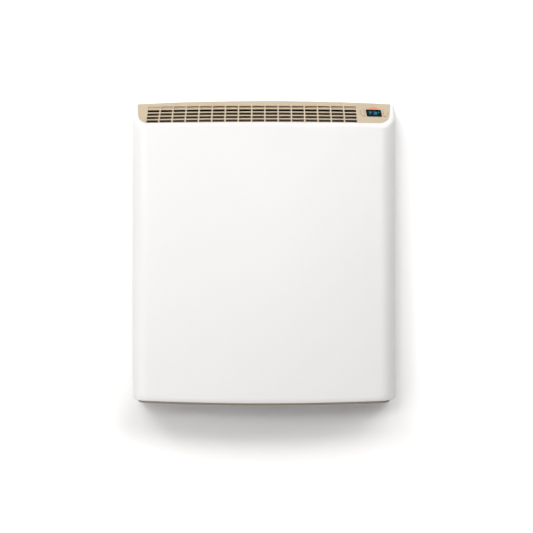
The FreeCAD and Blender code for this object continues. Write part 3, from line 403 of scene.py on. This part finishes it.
WALL_BACK = 0.6 * MM
ROOM_HALF = 4.0
FLOOR_LEVEL = -2.8
CEILING = 3.2
wall = sheet("wall", [
    (-ROOM_HALF, WALL_BACK, FLOOR_LEVEL), (ROOM_HALF, WALL_BACK, FLOOR_LEVEL),
    (ROOM_HALF, WALL_BACK, CEILING), (-ROOM_HALF, WALL_BACK, CEILING),
])
floor = sheet("floor", [
    (-ROOM_HALF, -ROOM_HALF, FLOOR_LEVEL), (ROOM_HALF, -ROOM_HALF, FLOOR_LEVEL),
    (ROOM_HALF, ROOM_HALF, FLOOR_LEVEL), (-ROOM_HALF, ROOM_HALF, FLOOR_LEVEL),
])

# Wall paint: pale grey to other rays; to the camera white near the heater and raised above white far
# from it, where the light falls off. It is clear from behind and casts no shadow.
WALL_TINT = (0.8, 0.8, 0.8)
WALL_NEAR = (1.0, 0.991, 0.982)
WALL_FAR = (1.5, 1.495, 1.49)
WALL_START = 0.45
WALL_END = 2.0
paint = Shader("wall_paint")
paint.tree.nodes.remove(paint.surface)
wall_rays = paint.node("ShaderNodeLightPath").outputs
away = paint.node("ShaderNodeVectorMath", operation="LENGTH")
paint.link(paint.place, away.inputs[0])
share = paint.ranged(away.outputs["Value"], start=WALL_START, end=WALL_END)
wall_seen = paint.between(share, WALL_NEAR, WALL_FAR)
matt = paint.node("ShaderNodeBsdfDiffuse")
paint.link(paint.between(wall_rays["Is Camera Ray"], WALL_TINT, wall_seen), matt.inputs["Color"])
hidden = paint.node("ShaderNodeMath", operation="MAXIMUM")
paint.link(paint.node("ShaderNodeNewGeometry").outputs["Backfacing"], hidden.inputs[0])
paint.link(wall_rays["Is Shadow Ray"], hidden.inputs[1])
clear = paint.node("ShaderNodeBsdfTransparent")
mixed = paint.node("ShaderNodeMixShader")
paint.link(hidden.outputs[0], mixed.inputs[0])
paint.link(matt.outputs[0], mixed.inputs[1])
paint.link(clear.outputs[0], mixed.inputs[2])
paint.link(mixed.outputs[0], paint.tree.nodes["Material Output"].inputs["Surface"])
wall.data.materials.append(paint.material)

# Floor paint: matt and faintly clouded, with a glow that only the camera sees
FLOOR_TINT = (0.62, 0.615, 0.605)
FLOOR_PATCH = 3.0
FLOOR_CLOUD = 0.995
FLOOR_GLOW = 0.45
ground = Shader("floor_paint")
floor_clouds = ground.ranged(ground.noise(FLOOR_PATCH))
ground.put("Base Color", ground.between(floor_clouds, shade(FLOOR_TINT, FLOOR_CLOUD), FLOOR_TINT))
ground.put("Roughness", 0.95)
ground.put("Specular IOR Level", 0.0)
floor_seen = ground.node("ShaderNodeLightPath").outputs["Is Camera Ray"]
ground.put("Emission Color", (1.0, 0.995, 0.985, 1.0))
ground.put("Emission Strength", ground.ranged(floor_seen, high=FLOOR_GLOW, start=0.0, end=1.0))
floor.data.materials.append(ground.material)


# Soft studio light
def softbox(name, place, width, height, power):
    """A lamp that the camera doesn't see, turned to the heater."""
    lamp = bpy.data.lights.new(name, "AREA")
    lamp.shape = "RECTANGLE"
    lamp.size = width
    lamp.size_y = height
    lamp.energy = power
    thing = bpy.data.objects.new(name, lamp)
    thing.location = place
    thing.rotation_mode = "QUATERNION"
    thing.rotation_quaternion = (-Vector(place)).to_track_quat("-Z", "Y")
    thing.visible_camera = False
    bpy.context.scene.collection.objects.link(thing)
    return thing


def receivers(name, state):
    """A group that lets a lamp reach the wall alone, or everything but the wall."""
    group = bpy.data.collections.new(name)
    group.objects.link(wall)
    group.collection_objects[0].light_linking.link_state = state
    return group


# A few softboxes on a sphere round the heater: elevation and azimuth in degrees, power in watts
LAMP_REACH = 4.0
HEATER_BOX = (1.2, 1.0)
HEATER_LAMPS = {
    "key": (27.0, -50.0, 48.0),
    "front": (10.0, 0.0, 34.0),
    "front_left": (10.0, -32.0, 37.0),
    "front_right": (18.0, 22.0, 34.0),
    "low_left": (-10.0, -55.0, 13.0),
    "top_right": (60.0, 50.0, 38.0),
}
WALL_BOX = (1.4, 1.2)
WALL_LAMPS = {
    "wall_low": (-10.0, 0.0, 8.0),
    "wall_low_left": (-10.0, -50.0, 20.0),
    "wall_left": (10.0, -50.0, 30.0),
    "wall_upper_left": (42.0, -50.0, 64.0),
    "wall_front_left": (25.0, -25.0, 40.0),
    "wall_top_left": (54.0, -25.0, 36.0),
    "wall_top_right": (54.0, 25.0, 50.0),
    "wall_upper_right": (39.0, 50.0, 70.0),
    "wall_right": (21.0, 75.0, 30.0),
}
off_wall = receivers("off_wall", "EXCLUDE")
on_wall = receivers("on_wall", "INCLUDE")
for lamps, size, group in ((HEATER_LAMPS, HEATER_BOX, off_wall), (WALL_LAMPS, WALL_BOX, on_wall)):
    for name, (lift, turn, power) in lamps.items():
        up, side = math.radians(lift), math.radians(turn)
        toward = Vector((math.cos(up) * math.sin(side), -math.cos(up) * math.cos(side), math.sin(up)))
        lamp = softbox(name, toward * LAMP_REACH, *size, power)
        lamp.light_linking.receiver_collection = group

# One lamp behind the wall, for views of the heater's back
REAR_PLACE = (0.6, 2.2, 1.5)
REAR_BOX = (1.6, 1.6)
REAR_POWER = 42.0
rear = softbox("rear", REAR_PLACE, *REAR_BOX, REAR_POWER)
rear.data.cycles.use_multiple_importance_sampling = False
rear.light_linking.receiver_collection = off_wall

# World: white where it is seen or mirrored, and no source of light otherwise
world = bpy.data.worlds.new("studio")
bpy.context.scene.world = world
world.use_nodes = True
sky = world.node_tree
unlit = sky.nodes["Background"]
unlit.inputs["Strength"].default_value = 0.0
backdrop = sky.nodes.new("ShaderNodeBackground")
backdrop.inputs["Color"].default_value = (1.0, 1.0, 1.0, 1.0)
backdrop.inputs["Strength"].default_value = 1.0
sky_rays = sky.nodes.new("ShaderNodeLightPath").outputs
mirrored = sky.nodes.new("ShaderNodeMath")
mirrored.operation = "MAXIMUM"
sky.links.new(sky_rays["Is Glossy Ray"], mirrored.inputs[0])
sky.links.new(sky_rays["Is Transmission Ray"], mirrored.inputs[1])
sky_seen = sky.nodes.new("ShaderNodeMath")
sky_seen.operation = "MAXIMUM"
sky.links.new(sky_rays["Is Camera Ray"], sky_seen.inputs[0])
sky.links.new(mirrored.outputs[0], sky_seen.inputs[1])
chosen = sky.nodes.new("ShaderNodeMixShader")
sky.links.new(sky_seen.outputs[0], chosen.inputs[0])
sky.links.new(unlit.outputs[0], chosen.inputs[1])
sky.links.new(backdrop.outputs[0], chosen.inputs[2])
sky.links.new(chosen.outputs[0], sky.nodes["World Output"].inputs["Surface"])

# Camera square on to the wall, a little below the middle
LENS = 50.0
SENSOR = 36.0
CAMERA_PLACE = Vector((4.7, -1392.0, -27.8)) * MM
camera = bpy.data.objects.new("camera", bpy.data.cameras.new("camera"))
camera.data.lens = LENS
camera.data.sensor_width = SENSOR
camera.location = CAMERA_PLACE
camera.rotation_euler = (math.radians(90.0), 0.0, 0.0)
bpy.context.scene.collection.objects.link(camera)
bpy.context.scene.camera = camera
bpy.context.scene.view_settings.view_transform = "Standard"
